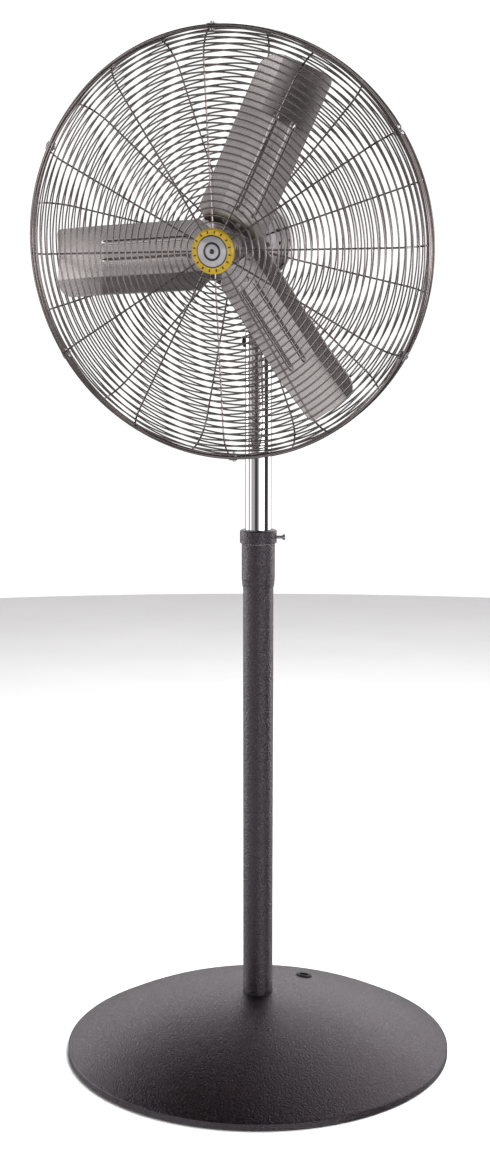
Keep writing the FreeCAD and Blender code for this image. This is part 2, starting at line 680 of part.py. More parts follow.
def ring_set(label, first, pitch, count, plane, toward):
    """Hoops that follow the guard's flat face and its shoulder."""
    flat = number("guard_radius - shoulder")
    hoops = []
    for i in range(count):
        path = number(first) + number(pitch) * i
        bend = max(path - flat, 0) / number("shoulder")
        radius = min(path, flat) + number("shoulder") * math.sin(bend)
        height = number(plane) + toward * number("shoulder") * (1 - math.cos(bend))
        hoops.append(hoop(f"{radius:.4f}", "wire", f"{height:.4f}"))
    group(label, hoops, HEAD)


def make_guards():
    rear_plane, front_plane = "rim_plane - rear_depth", "rim_plane + front_depth"
    rear_spokes = spoke_wires("62", rear_plane + " + wire_lift", 1, 90,
                              number("rear_spoke_turn"))
    plate = cylinder("plate_radius", "plate_front - plate_back", z="plate_back")
    holes = [cylinder("plate_bore", "10", z="plate_back - 5")]
    screw_spots = polar_spots(62, 0, 4)
    for spot in screw_spots:
        holes.append(cylinder("2.3", "10", str(spot.Base.x), str(spot.Base.y),
                              "plate_back - 5"))
    rear = minus("rear_guard_frame", fused("rear_blank", rear_spokes + [plate]), holes)
    keep("rear_guard_frame", rear, HEAD)
    ring_set("rear_guard_rings", "rear_first", "rear_pitch", REAR_RINGS, rear_plane, 1)
    group("rear_guard_rim", [hoop("rim_radius", "rim_wire", "rim_plane - rim_half_gap")], HEAD)

    screw = fused("guard_screw_master", [
        cylinder("2", "7", z="plate_front - 6.9"),
        cylinder("4.2", "2.4", z="plate_front + 0.05"),
    ])
    copies("guard_screws", screw, screw_spots, HEAD)

    front_spokes = spoke_wires("12", front_plane + " - wire_lift", -1, 71.5, 0)
    disc = cylinder("centre_radius", "centre_front - centre_back", z="centre_back")
    front = minus("front_guard_frame", fused("front_blank", front_spokes + [disc]),
                  [cylinder("3.2", "10", z="centre_back - 5")])
    keep("front_guard_frame", front, HEAD)
    ring_set("front_guard_rings", "front_first", "front_pitch", FRONT_RINGS, front_plane, -1)
    group("front_guard_rim", [hoop("rim_radius", "rim_wire", "rim_plane + rim_half_gap")], HEAD)

    outer, inner = "rim_radius + rim_wire + 0.2", "rim_radius - rim_wire - 1.7"
    strips = []
    for level in (outer, inner):
        strip = block("1.5", "16", "15", level, "-8", "rim_plane - 7.5")
        strips.append(minus("strip", strip, [cylinder("2.1", "10", str(number(level) - 4), "0",
                                                      "rim_plane", X_AXIS)]))
    spots = [Placement(Vector(), Rotation(Z_AXIS, 30 + 60 * i)) for i in range(CLIPS)]
    both = doc.addObject("Part::Compound", "strip_pair")
    both.Links = strips
    screw = fused("clip_screw_master", [
        cylinder("2", "16.5", "rim_radius - rim_wire - 7.4", "0", "rim_plane", X_AXIS),
        cylinder("4", "3", outer + " + 1.55", "0", "rim_plane", X_AXIS),
    ])
    nut = minus("clip_nut_master",
                cylinder("4", "3", inner + " - 3.1", "0", "rim_plane", X_AXIS),
                [cylinder("2.02", "8", inner + " - 6", "0", "rim_plane", X_AXIS)])
    copies("rim_clips", both, spots, HEAD)
    copies("clip_screws", screw, spots, HEAD)
    copies("clip_nuts", nut, spots, HEAD)

    sheet_face = "badge_face - badge_sheet"
    turned("badge_plate", [
        ("0", "badge_face"), ("badge_radius - 3", "badge_face"),
        ("badge_radius", "badge_face - 3"), ("badge_radius", "badge_back"),
        ("badge_radius - badge_sheet", "badge_back"),
        ("badge_radius - badge_sheet", "badge_face - 3.5"),
        ("badge_radius - 3.5", sheet_face), ("3", sheet_face), ("3", "236"), ("0", "236"),
    ], HEAD)
    turned("badge_nut", ring_corners("3.02", "6", "centre_back - 4", "centre_back - 0.05"), HEAD)


# ---------------------------------------------------------------- fan

def blade_frame(angle):
    pitch = Rotation(X_AXIS, number("blade_pitch"))
    lift = Placement(Vector(0, number("blade_offset"), 0), pitch)
    turn = Placement(Vector(0, 0, number("blade_plane")), Rotation(Z_AXIS, angle))
    return turn.multiply(lift)


RIVETS = [(44, -12), (44, 12), (66, -12), (66, 12)]


def make_blade(label, angle):
    """A bowed strip of sheet with a tapered root and rounded tip corners."""
    body = doc.addObject("PartDesign::Body", label)
    sketch = new_sketch(body, "YZ_Plane", "blade_root")
    share = "(1 - blade_sheet / blade_camber)"
    rise = "sqrt(blade_camber ^ 2 - blade_half ^ 2) * blade_sheet / blade_camber"
    draw_path(sketch, [
        ("-blade_half", "0", "blade_camber", "left"), ("blade_half", "0"),
        ("blade_half * " + share, rise, "blade_camber - blade_sheet", "right"),
        ("-blade_half * " + share, rise),
    ])
    pad = body.newObject("PartDesign::Pad", label + "_pad")
    pad.Profile = sketch
    pad.setExpression("Length", bound("blade_tip - blade_root"))
    doc.recompute()

    before = body.Shape.Volume
    trim = new_sketch(body, "XY_Plane")
    tip, half = "blade_tip", "blade_half"
    for corner, side, turn in (("lead_corner", "", "left"), ("trail_corner", "-", "right")):
        edge = side + half
        draw_path(trim, [
            (tip + " - " + corner, f"{side}({half} + 6)"), (tip + " + 6", f"{side}({half} + 6)"),
            (tip + " + 6", f"{side}({half} - {corner})"),
            (tip, f"{side}({half} - {corner})", corner, turn), (tip + " - " + corner, edge),
        ])
        draw_path(trim, [
            ("blade_root - 6", f"{side}({half} + 6)"), ("root_wide", f"{side}({half} + 6)"),
            ("root_wide", edge), ("blade_root", f"{side}root_half"),
            ("blade_root - 6", f"{side}root_half"),
        ])
    pocket(body, trim, before)
    drill(body, [("rivet + 0.05", str(x), str(y)) for x, y in RIVETS])
    keep(label, body, HEAD.multiply(blade_frame(angle)))


def make_fan():
    for i, angle in enumerate(BLADE_ANGLES, start=1):
        make_blade(f"blade_{i}", angle)

    boss = cylinder("hub_radius", "hub_front - hub_back", z="hub_back")
    arms, cuts = [], [cylinder("shaft_radius + 0.02", "100", z="150")]
    cuts.append(cylinder("3.05", "40", "5", "0", "hub_front - 7", X_AXIS))
    arm_top = "-bow - 0.2"
    for angle in BLADE_ANGLES:
        arm = block("arm_tip - 18", "2 * arm_half", "arm_sheet", "18", "-arm_half",
                    arm_top + " - arm_sheet")
        arm.Placement = blade_frame(angle).multiply(arm.Placement)
        arms.append(arm)
        for x, y in RIVETS:
            hole = cylinder("rivet + 0.05", "20", str(x), str(y), "-20")
            hole.Placement = blade_frame(angle).multiply(hole.Placement)
            cuts.append(hole)
    keep("hub_spider", minus("hub_spider", fused("spider_blank", [boss] + arms), cuts), HEAD)
    turned("hub_set_screw", [("0", "0"), ("3", "0"), ("3", "17"), ("0", "17")],
           HEAD.multiply(Placement(Vector(number("shaft_radius") + 0.1, 0,
                                          number("hub_front - 7")), Rotation(Y_AXIS, 90))))

    rivet = fused("rivet_master", [
        cylinder("rivet", "8", z="-bow - arm_sheet - 1.2"),
        cylinder("5", "1.4", z="-bow - arm_sheet - 1.7"),
        cylinder("5", "2.2", z="-bow + 2.4"),
    ])
    spots = [blade_frame(angle).multiply(Placement(Vector(x, y, 0), Rotation()))
             for angle in BLADE_ANGLES for x, y in RIVETS]
    copies("blade_rivets", rivet, spots, HEAD)


make_base()
make_column()
make_bracket()
make_motor()
make_foot()
make_switch_box()
make_guards()
make_fan()

doc.recompute()
for thing in doc.Objects:
    if "Invalid" in thing.State or "Error" in thing.State:
        raise RuntimeError(f"{thing.Label}: {thing.State}")

os.makedirs("parts", exist_ok=True)
for label, piece in parts.items():
    shape = piece.Shape
    if shape.isNull() or not shape.isValid():
        raise RuntimeError(label + ": the shape is not valid")
    shape.exportStep(f"parts/{label}.step")
    print(f"{label:22s} {len(shape.Solids):3d} solids  {shape.Volume:12.1f} mm3  {shape.BoundBox}")
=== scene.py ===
import json
import math

import bpy
from mathutils import Matrix, Vector


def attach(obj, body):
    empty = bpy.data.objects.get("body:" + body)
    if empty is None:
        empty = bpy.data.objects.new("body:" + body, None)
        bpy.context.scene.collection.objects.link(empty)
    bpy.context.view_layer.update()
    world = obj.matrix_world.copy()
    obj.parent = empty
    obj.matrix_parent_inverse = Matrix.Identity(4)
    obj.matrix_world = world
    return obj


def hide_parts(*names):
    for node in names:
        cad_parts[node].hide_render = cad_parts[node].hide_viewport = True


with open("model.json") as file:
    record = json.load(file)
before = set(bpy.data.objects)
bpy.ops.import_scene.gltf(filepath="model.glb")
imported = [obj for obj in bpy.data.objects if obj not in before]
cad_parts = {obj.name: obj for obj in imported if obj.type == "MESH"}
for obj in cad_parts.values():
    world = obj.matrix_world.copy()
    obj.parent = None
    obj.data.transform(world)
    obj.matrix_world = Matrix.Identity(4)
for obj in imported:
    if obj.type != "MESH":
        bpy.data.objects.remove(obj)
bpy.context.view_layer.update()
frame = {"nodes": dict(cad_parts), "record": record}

# The looks of a large pedestal fan, in the same frame as the CAD part: +Z up, the column on the
# Z axis and the fan blowing towards -Y. The guards, blades and badge are drawn in millimetres in
# the head's own frame, which HEAD turns into the part's metres.
MM = 0.001


# ---------------------------------------------------------------- materials

NOISE_ROUGHNESS = 0.55


class Shader:
    """A principled material with a few shorthand ways to add procedural detail."""

    def __init__(self, name, color, roughness, metallic=0.0, **extra):
        self.material = bpy.data.materials.new(name)
        self.material.use_nodes = True
        self.tree = self.material.node_tree
        self.surface = self.tree.nodes["Principled BSDF"]
        self.base = (*color, 1.0)
        self.surface.inputs["Base Color"].default_value = self.base
        self.surface.inputs["Roughness"].default_value = roughness
        self.surface.inputs["Metallic"].default_value = metallic
        for socket, value in extra.items():
            label = socket.replace("_", " ").title().replace("Ior", "IOR")
            self.surface.inputs[label].default_value = value
        self.coords = self.tree.nodes.new("ShaderNodeTexCoord").outputs["Object"]
        self.normal = None

    def node(self, kind, **settings):
        made = self.tree.nodes.new(kind)
        for key, value in settings.items():
            setattr(made, key, value)
        return made

    def link(self, source, target):
        self.tree.links.new(source, target)

    def stretched(self, scale):
        """The object's coordinates scaled by axis, for a grain that runs one way."""
        mapping = self.node("ShaderNodeMapping")
        mapping.inputs["Scale"].default_value = scale
        self.link(self.coords, mapping.inputs["Vector"])
        return mapping.outputs["Vector"]

    def noise(self, scale, detail, stretch=(1, 1, 1)):
        texture = self.node("ShaderNodeTexNoise")
        texture.inputs["Scale"].default_value = scale
        texture.inputs["Detail"].default_value = detail
        texture.inputs["Roughness"].default_value = NOISE_ROUGHNESS
        self.link(self.stretched(stretch), texture.inputs["Vector"])
        return texture.outputs["Fac"]

    def ramp(self, factor, stops):
        """A colour ramp. Each stop is a position and a grey level or a colour."""
        ramp = self.node("ShaderNodeValToRGB")
        elements = ramp.color_ramp.elements
        while len(elements) < len(stops):
            elements.new(0.5)
        for element, (place, level) in zip(elements, stops):
            element.position = place
            color = (level,) * 3 if isinstance(level, (int, float)) else level
            element.color = (*color, 1.0)
        self.link(factor, ramp.inputs["Fac"])
        return ramp.outputs["Color"]

    def wander(self, socket, factor, low, high):
        """Lets a value of the surface wander between two levels."""
        self.link(self.ramp(factor, [(0.3, low), (0.7, high)]), self.surface.inputs[socket])

    def tint(self, factor, low, high):
        self.wander("Base Color", factor, low, high)

    def vary_roughness(self, factor, low, high):
        self.wander("Roughness", factor, low, high)

    def bump(self, height, distance, strength=1.0):
        """Adds fine relief on top of any relief added before."""
        node = self.node("ShaderNodeBump")
        node.inputs["Strength"].default_value = strength
        node.inputs["Distance"].default_value = distance
        self.link(height, node.inputs["Height"])
        if self.normal is not None:
            self.link(self.normal, node.inputs["Normal"])
        self.normal = node.outputs["Normal"]
        self.link(self.normal, self.surface.inputs["Normal"])


def powder_coat():
    """Near-black powder coat, slightly plum, with a fine orange-peel texture."""
    s = Shader("powder_coat", (0.003, 0.001, 0.002), 0.36, specular_ior_level=1.0,
               specular_tint=(1.0, 0.9, 1.0, 1.0))
    s.tint(s.noise(9, 4), (0.002, 0.0005, 0.001), (0.004, 0.0015, 0.002))
    s.vary_roughness(s.noise(300, 2), 0.22, 0.48)
    s.bump(s.noise(300, 2), 3 * MM, 0.6)
    s.bump(s.noise(30, 2), 0.4 * MM, 0.1)
    return s.material


def chrome():
    s = Shader("chrome_plate", (0.86, 0.85, 0.86), 0.05, 1.0)
    s.vary_roughness(s.noise(60, 5), 0.03, 0.08)
    s.bump(s.noise(14, 2, (1, 1, 0.3)), 0.3 * MM, 0.04)
    return s.material


def wire_plate():
    """Plating on drawn wire, dulled to a warm grey."""
    s = Shader("wire_plate", (0.27, 0.24, 0.235), 0.14, 1.0)
    s.tint(s.noise(14, 4), (0.22, 0.19, 0.185), (0.33, 0.3, 0.295))
    s.vary_roughness(s.noise(120, 3), 0.1, 0.2)
    s.bump(s.noise(500, 2), 0.05 * MM, 0.2)
    return s.material


def blade_sheet():
    """Rolled aluminium sheet with a faint grain along each blade."""
    s = Shader("blade_sheet", (0.56, 0.53, 0.52), 0.2, 1.0)
    s.tint(s.noise(6, 3), (0.52, 0.49, 0.48), (0.6, 0.575, 0.565))
    s.vary_roughness(s.noise(60, 4, (0.2, 1, 1)), 0.17, 0.24)
    s.bump(s.noise(700, 2, (0.03, 1, 1)), 0.01 * MM, 0.3)
    s.bump(s.noise(7, 1), 0.6 * MM, 0.06)
    return s.material


def cast_alloy():
    s = Shader("cast_alloy", (0.6, 0.58, 0.6), 0.5, 1.0)
    s.tint(s.noise(50, 4), (0.5, 0.48, 0.5), (0.68, 0.66, 0.68))
    s.vary_roughness(s.noise(200, 3), 0.4, 0.6)
    s.bump(s.noise(900, 3), 0.15 * MM, 0.5)
    return s.material


def zinc_plate():
    s = Shader("zinc_plate", (0.55, 0.55, 0.56), 0.32, 1.0)
    s.tint(s.noise(150, 4), (0.45, 0.45, 0.47), (0.64, 0.64, 0.64))
    s.vary_roughness(s.noise(300, 3), 0.24, 0.42)
    s.bump(s.noise(900, 2), 0.04 * MM, 0.4)
    return s.material


def motor_enamel():
    s = Shader("motor_enamel", (0.02, 0.02, 0.022), 0.35, coat_weight=0.2)
    s.tint(s.noise(20, 4), (0.014, 0.014, 0.016), (0.03, 0.03, 0.032))
    s.vary_roughness(s.noise(90, 4), 0.28, 0.44)
    s.bump(s.noise(350, 2), 0.12 * MM, 0.3)
    return s.material


def moulded(name, low, high, roughness=0.5):
    """Moulded plastic with a spark-eroded grain."""
    s = Shader(name, high, roughness)
    s.tint(s.noise(60, 4), low, high)
    s.vary_roughness(s.noise(250, 3), roughness - 0.08, roughness + 0.08)
    s.bump(s.noise(1400, 2), 0.06 * MM, 0.5)
    return s.material


def rubber():
    s = Shader("rubber", (0.02, 0.02, 0.02), 0.75)
    s.tint(s.noise(80, 4), (0.012, 0.012, 0.012), (0.03, 0.03, 0.03))
    s.vary_roughness(s.noise(300, 3), 0.65, 0.85)
    s.bump(s.noise(700, 3), 0.1 * MM, 0.5)
    return s.material


def painted_iron():
    s = Shader("painted_iron", (0.06, 0.06, 0.06), 0.6)
    s.tint(s.noise(15, 5), (0.04, 0.04, 0.04), (0.09, 0.085, 0.08))
    s.vary_roughness(s.noise(80, 4), 0.5, 0.72)
    s.bump(s.noise(220, 4), 0.3 * MM, 0.5)
    return s.material


def laminations():
    s = Shader("laminations", (0.2, 0.2, 0.22), 0.4, 0.9)
    s.tint(s.noise(600, 2, (0.02, 0.02, 1)), (0.13, 0.13, 0.15), (0.28, 0.28, 0.3))
    s.vary_roughness(s.noise(200, 3), 0.35, 0.5)
    s.bump(s.noise(900, 2, (0.02, 0.02, 1)), 0.1 * MM, 0.6)
    return s.material


def winding():
    s = Shader("winding", (0.5, 0.2, 0.08), 0.3, 0.6, coat_weight=0.4)
    s.tint(s.noise(90, 3, (1, 1, 3)), (0.3, 0.11, 0.04), (0.62, 0.27, 0.11))
    s.vary_roughness(s.noise(200, 3), 0.25, 0.4)
    s.bump(s.noise(700, 2, (0.1, 0.1, 1)), 0.3 * MM, 0.7)
    return s.material


def enamel(name, low, high, roughness=0.3):
    """Printed enamel on the badge."""
    s = Shader(name, high, roughness, coat_weight=0.25)
    s.tint(s.noise(120, 4), low, high)
    s.vary_roughness(s.noise(300, 3), roughness - 0.06, roughness + 0.08)
    s.bump(s.noise(500, 2), 0.03 * MM, 0.4)
    return s.material


POWDER = powder_coat()
CHROME = chrome()
WIRE = wire_plate()
BLADE = blade_sheet()
CAST = cast_alloy()
ZINC = zinc_plate()
MOTOR = motor_enamel()
BLACK_PLASTIC = moulded("black_plastic", (0.012, 0.012, 0.013), (0.025, 0.025, 0.027))
NYLON = moulded("nylon", (0.68, 0.67, 0.62), (0.8, 0.79, 0.75), 0.42)
RUBBER = rubber()
IRON = painted_iron()
LAMINATIONS = laminations()
WINDING = winding()
YELLOW = enamel("badge_yellow", (0.56, 0.36, 0.015), (0.66, 0.45, 0.03))
BADGE_BLACK = enamel("badge_black", (0.012, 0.01, 0.012), (0.025, 0.022, 0.025), 0.4)
BADGE_SILVER = enamel("badge_silver", (0.42, 0.41, 0.43), (0.52, 0.51, 0.53), 0.35)

SLOT_MATERIALS = {
    "dark_coat": POWDER, "chrome": CHROME, "guard_wire": WIRE, "blade_metal": BLADE,
    "plated_steel": ZINC, "black_plastic": BLACK_PLASTIC, "motor_paint": MOTOR,
    "cast_metal": CAST, "rubber": RUBBER, "nylon": NYLON, "lamination": LAMINATIONS,
    "copper": WINDING, "badge": YELLOW, "ballast_iron": IRON,
}


def dress_cad_nodes():
    """Gives every CAD node the material of its slot."""
    slots = {s["node"]: s["material_slot"] for s in frame["record"]["subparts"]}
    for name, node in frame["nodes"].items():
        for slot in node.material_slots:
            slot.material = SLOT_MATERIALS[slots[name]]


# ---------------------------------------------------------------- mesh helpers

def new_object(name, verts, faces, material, smooth=True):
    mesh = bpy.data.meshes.new(name)
    mesh.from_pydata([tuple(v) for v in verts], [], faces)
    mesh.materials.append(material)
    mesh.update()
    piece = bpy.data.objects.new(name, mesh)
    bpy.context.scene.collection.objects.link(piece)
    if smooth:
        mesh.polygons.foreach_set("use_smooth", [True] * len(mesh.polygons))
    return piece


def tube_mesh(verts, faces, path, normals, radius, sides):
    """Adds a round wire along a closed path. Each normal lies across the path."""
    first = len(verts)
    count = len(path)
    for i, (point, across) in enumerate(zip(path, normals)):
        along = (path[(i + 1) % count] - path[i - 1]).normalized()
        side = along.cross(across).normalized()
        for k in range(sides):
            turn = 2 * math.pi * k / sides
            verts.append(point + radius * (across * math.cos(turn) + side * math.sin(turn)))
    for i in range(count):
        a, b = first + i * sides, first + (i + 1) % count * sides
        for k in range(sides):
            n = (k + 1) % sides
            faces.append((a + k, a + n, b + n, b + k))


# The head's frame: +Z is the way the air goes, +Y is up and the origin lies behind the motor.
TILT = math.radians(7.78)
RIM_CENTRE = Vector((0, -180, 1574)) * MM
RIM_PLANE = 200        # how far the rim's centre lies from the head's origin
AIR = Vector((0, -math.cos(TILT), -math.sin(TILT)))
HEAD = (Matrix.Translation(RIM_CENTRE - AIR * RIM_PLANE * MM)
        @ Matrix.Rotation(math.pi / 2 + TILT, 4, "X") @ Matrix.Scale(MM, 4))


def place(piece, matrix, body, replaced=(), slot=None):
    """Moves a piece's mesh to its place, in the stead of CAD nodes, and lets it ride its body."""
    piece.data.transform(matrix)
    if replaced:
        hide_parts(*replaced)
    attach(piece, body)


# ---------------------------------------------------------------- guards

GUARD_RADIUS = 384
SHOULDER = 58.4                     # radius of the bend from the flat face to the side
FLAT = GUARD_RADIUS - SHOULDER
WIRE_RADIUS = 1.55
FRONT_PLANE, REAR_PLANE = 249.2, 133.0
FRONT_HOOPS = (50.5, 12.05, 29)     # first radius, pitch and count
REAR_HOOPS = (88, 11.5, 28)
WIRE_SIDES, RIM_SIDES = 8, 16
HOOP_STEP = 2.2                     # length of a hoop's shortest stretches
FEWEST_STEPS = 72
RIM_RADIUS = 380.5
RIM_WIRE = 3.0
RIM_GAP = 5.2                       # from the rim's plane to the middle of each rim wire
PLATE_FACE = 135.0
PLATE_HOLE, PLATE_RADIUS = 44.2, 80
PLATE_EDGE = 0.15


def add_hoop(verts, faces, radius, height, wire, sides):
    """A closed round wire about the head's axis."""
    steps = max(FEWEST_STEPS, int(radius / HOOP_STEP))
    directions = [Vector((math.cos(2 * math.pi * k / steps), math.sin(2 * math.pi * k / steps), 0))
                  for k in range(steps)]
    path = [d * radius + Vector((0, 0, height)) for d in directions]
    tube_mesh(verts, faces, path, directions, wire, sides)


def guard_rings(name, replaced, hoops, plane, toward):
    """The hoops, on the guard's flat face and down its shoulder. toward is +1 when the
    shoulder leads to higher Z."""
    first, pitch, count = hoops
    verts, faces = [], []
    for i in range(count):
        path = first + pitch * i
        bend = max(path - FLAT, 0) / SHOULDER
        radius = min(path, FLAT) + SHOULDER * math.sin(bend)
        height = plane + toward * SHOULDER * (1 - math.cos(bend))
        add_hoop(verts, faces, radius, height, WIRE_RADIUS, WIRE_SIDES)
    place(new_object(name, verts, faces, WIRE), HEAD, "head", (replaced,), "guard_wire")


def guard_rim(name, replaced, height):
    verts, faces = [], []
    add_hoop(verts, faces, RIM_RADIUS, height, RIM_WIRE, RIM_SIDES)
    place(new_object(name, verts, faces, WIRE), HEAD, "head", (replaced,), "guard_wire")


def make_guards():
    guard_rings("front_rings", "front_guard_rings", FRONT_HOOPS, FRONT_PLANE, -1)
    guard_rings("rear_rings", "rear_guard_rings", REAR_HOOPS, REAR_PLANE, 1)
    guard_rim("front_rim", "front_guard_rim", RIM_PLANE + RIM_GAP)
    guard_rim("rear_rim", "rear_guard_rim", RIM_PLANE - RIM_GAP)


def make_mount_face():
    """Bare rolled steel on the front of the rear guard's mount plate."""
    face = disc_ring("mount_face", PLATE_HOLE, PLATE_RADIUS, PLATE_FACE, PLATE_EDGE, CAST)
    place(face, HEAD, "head", slot="guard_wire")


# ---------------------------------------------------------------- blades

BLADE_ANGLES = (182.1, 62.1, 302.1)
BLADE_PITCH = 14.2
BLADE_PLANE = 191      # where the blades' radial lines lie along the head's axis
BLADE_SHIFT = 9.1      # how far each blade's centre line lies ahead of its radial line
BLADE_ROOT, BLADE_TIP = 30, 346
BLADE_HALF = 64
BLADE_CAMBER = 265     # radius of the bow across the blade
BLADE_SHEET = 1.8
ROOT_HALF = 45         # half the width at the root
ROOT_END = 50          # where the root has widened to the full width
LEAD_CORNER, TRAIL_CORNER = 38, 10
PRESSED_START = (66, 84)
PRESSED_END = 246      # the pressed ribs run out here
RUN_OUT = 6
RIB_ROWS = (-32, 1)    # centre lines of the two ribs across the blade
RIB_CREST = 0.8
RIB_HALF = 5.2
RIB_HEIGHT = 3.4
EDGE_BEND = 29         # where the free edge panel bends forwards
TIP_SWEEP = 0.1        # the slope of the sheet beyond the ribs, away from the air
TIP_CURL = 0.0002      # how that slope grows
TIP_LENGTH = 40        # the stretch at the tip that has closer rows
LONG_ROWS, TIP_ROWS, COLUMNS = 90, 30, 96


def blade_frame(angle):
    return (HEAD @ Matrix.Translation((0, 0, BLADE_PLANE))
            @ Matrix.Rotation(math.radians(angle), 4, "Z")
            @ Matrix.Translation((0, BLADE_SHIFT, 0))
            @ Matrix.Rotation(math.radians(BLADE_PITCH), 4, "X"))


def smooth_step(x, low, high):
    t = min(max((x - low) / (high - low), 0), 1)
    return t * t * (3 - 2 * t)


def rounded(distance, radius):
    """How far a rounded corner pulls an edge in, at a distance before the end."""
    if distance >= radius:
        return 0
    return radius - math.sqrt(max(radius ** 2 - (radius - distance) ** 2, 0))


def bow_height(y):
    """The height of a plain bow across the blade, level with its edges."""
    rise = math.sqrt(BLADE_CAMBER ** 2 - BLADE_HALF ** 2)
    return rise - math.sqrt(BLADE_CAMBER ** 2 - y ** 2)


def panel_height(y):
    """The height of flat panels between the ribs and bends, whose corners lie on the bow."""
    corners = [-BLADE_HALF, *RIB_ROWS, EDGE_BEND, BLADE_HALF]
    y = min(max(y, -BLADE_HALF), BLADE_HALF)
    for low, high in zip(corners, corners[1:]):
        if y <= high:
            share = (y - low) / (high - low)
            return bow_height(low) + (bow_height(high) - bow_height(low)) * share


def blade_height(r, y):
    """The sheet's middle surface. Inside the pressed length it is flat panels with two ribs,
    and beyond that a smooth bow with a flat edge panel."""
    flat = panel_height(y)
    bow = flat if y > EDGE_BEND else bow_height(y)
    rib = sum(RIB_HEIGHT * (1 - smooth_step(abs(y - row), RIB_CREST, RIB_HALF))
              for row in RIB_ROWS)
    inner = 1 - smooth_step(r, PRESSED_END - RUN_OUT, PRESSED_END + RUN_OUT)
    root = smooth_step(r, *PRESSED_START)
    past = max(r - PRESSED_END, 0)
    return bow + (flat - bow + rib) * inner * root - TIP_SWEEP * past - TIP_CURL * past ** 2


def blade_span(r):
    """The outline's two edges at a distance from the axis."""
    ahead = BLADE_TIP - r
    widen = min((r - BLADE_ROOT) / (ROOT_END - BLADE_ROOT), 1)
    reach = ROOT_HALF + (BLADE_HALF - ROOT_HALF) * widen
    high = min(BLADE_HALF - rounded(ahead, LEAD_CORNER), reach)
    low = max(-BLADE_HALF + rounded(ahead, TRAIL_CORNER), -reach)
    return low, high


def blade_mesh(name):
    """A grid over the blade's outline, given thickness by a modifier."""
    length = BLADE_TIP - TIP_LENGTH - BLADE_ROOT
    rows = [BLADE_ROOT + length * i / LONG_ROWS for i in range(LONG_ROWS)]
    rows += [BLADE_TIP - TIP_LENGTH * (1 - math.sin(math.pi / 2 * i / TIP_ROWS))
             for i in range(TIP_ROWS + 1)]
    verts, faces = [], []
    for r in rows:
        low, high = blade_span(r)
        for k in range(COLUMNS + 1):
            y = low + (high - low) * k / COLUMNS
            verts.append((r, y, blade_height(r, y) + BLADE_SHEET / 2))
    wide = COLUMNS + 1
    for i in range(len(rows) - 1):
        for k in range(COLUMNS):
            a = i * wide + k
            faces.append((a, a + wide, a + wide + 1, a + 1))
    piece = new_object(name, verts, faces, BLADE)
    sheet = piece.modifiers.new("sheet", "SOLIDIFY")
    sheet.thickness = BLADE_SHEET * MM
    sheet.offset = 0
    return piece


def make_blades():
    for i, angle in enumerate(BLADE_ANGLES, start=1):
        piece = blade_mesh(f"pressed_blade_{i}")
        place(piece, blade_frame(angle), "rotor", (f"blade_{i}",), "blade_metal")


# ---------------------------------------------------------------- badge

BADGE_FACE = 255.5
BADGE_TICKS = 16
DISC_STEPS = 96
DOT = 0.02             # the inner radius of a ring that is closed in the middle


def disc_ring(name, inner, outer, height, thickness, material):
    """A thin flat ring with an outer edge, or a disc where the inner radius is next to nothing."""
    verts, faces = [], []
    profile = [(outer, height - thickness), (outer, height), (inner, height)]
    for k in range(DISC_STEPS):
        turn = 2 * math.pi * k / DISC_STEPS
        for r, z in profile:
            verts.append((r * math.cos(turn), r * math.sin(turn), z))
    wide = len(profile)
    for k in range(DISC_STEPS):
        a, b = k * wide, (k + 1) % DISC_STEPS * wide
        for j in range(wide - 1):
            faces.append((a + j, b + j, b + j + 1, a + j + 1))
    return new_object(name, verts, faces, material)


def tick_marks(name, count, inner, outer, half, height):
    """Short printed dashes, evenly round a ring."""
    verts, faces = [], []
    for i in range(count):
        turn = 2 * math.pi * (i + 0.5) / count
        out = Vector((math.cos(turn), math.sin(turn), 0))
        side = Vector((-math.sin(turn), math.cos(turn), 0)) * half
        first = len(verts)
        for r, across in ((inner, -side), (outer, -side), (outer, side), (inner, side)):
            verts.append(out * r + across + Vector((0, 0, height)))
        faces.append(tuple(range(first, first + 4)))
    return new_object(name, verts, faces, BADGE_BLACK, smooth=False)


def make_badge():
    """A plain badge: a dark-edged silver disc with a ring and a dot, on the yellow cap."""
    for piece in (
        disc_ring("badge_border", DOT, 28.8, BADGE_FACE + 0.15, 0.3, BADGE_BLACK),
        disc_ring("badge_disc", DOT, 26.8, BADGE_FACE + 0.3, 0.3, BADGE_SILVER),
        disc_ring("badge_ring", 12.5, 16.5, BADGE_FACE + 0.4, 0.2, BADGE_BLACK),
        disc_ring("badge_dot", DOT, 4.5, BADGE_FACE + 0.4, 0.2, BADGE_BLACK),
        tick_marks("badge_ticks", BADGE_TICKS, 31.4, 36.4, 1.3, BADGE_FACE + 0.08),
    ):
        place(piece, HEAD, "head", slot="badge")


# ---------------------------------------------------------------- stage

CAMERA_PLACE = (1.1551, -3.0858, 1.4303)
CAMERA_HEADING = 110.97
CAMERA_DIP = -8.512
CAMERA_LENS = 52.64
BACKDROP = 1.1
LAMP_PLACE = (0.6, 0.8, 4.2)
LAMP_AIM = (0, 0, 0.6)
LAMP_SIZE = (3.0, 2.0)
LAMP_POWER = 300
FLOOR_RADIUS = 6

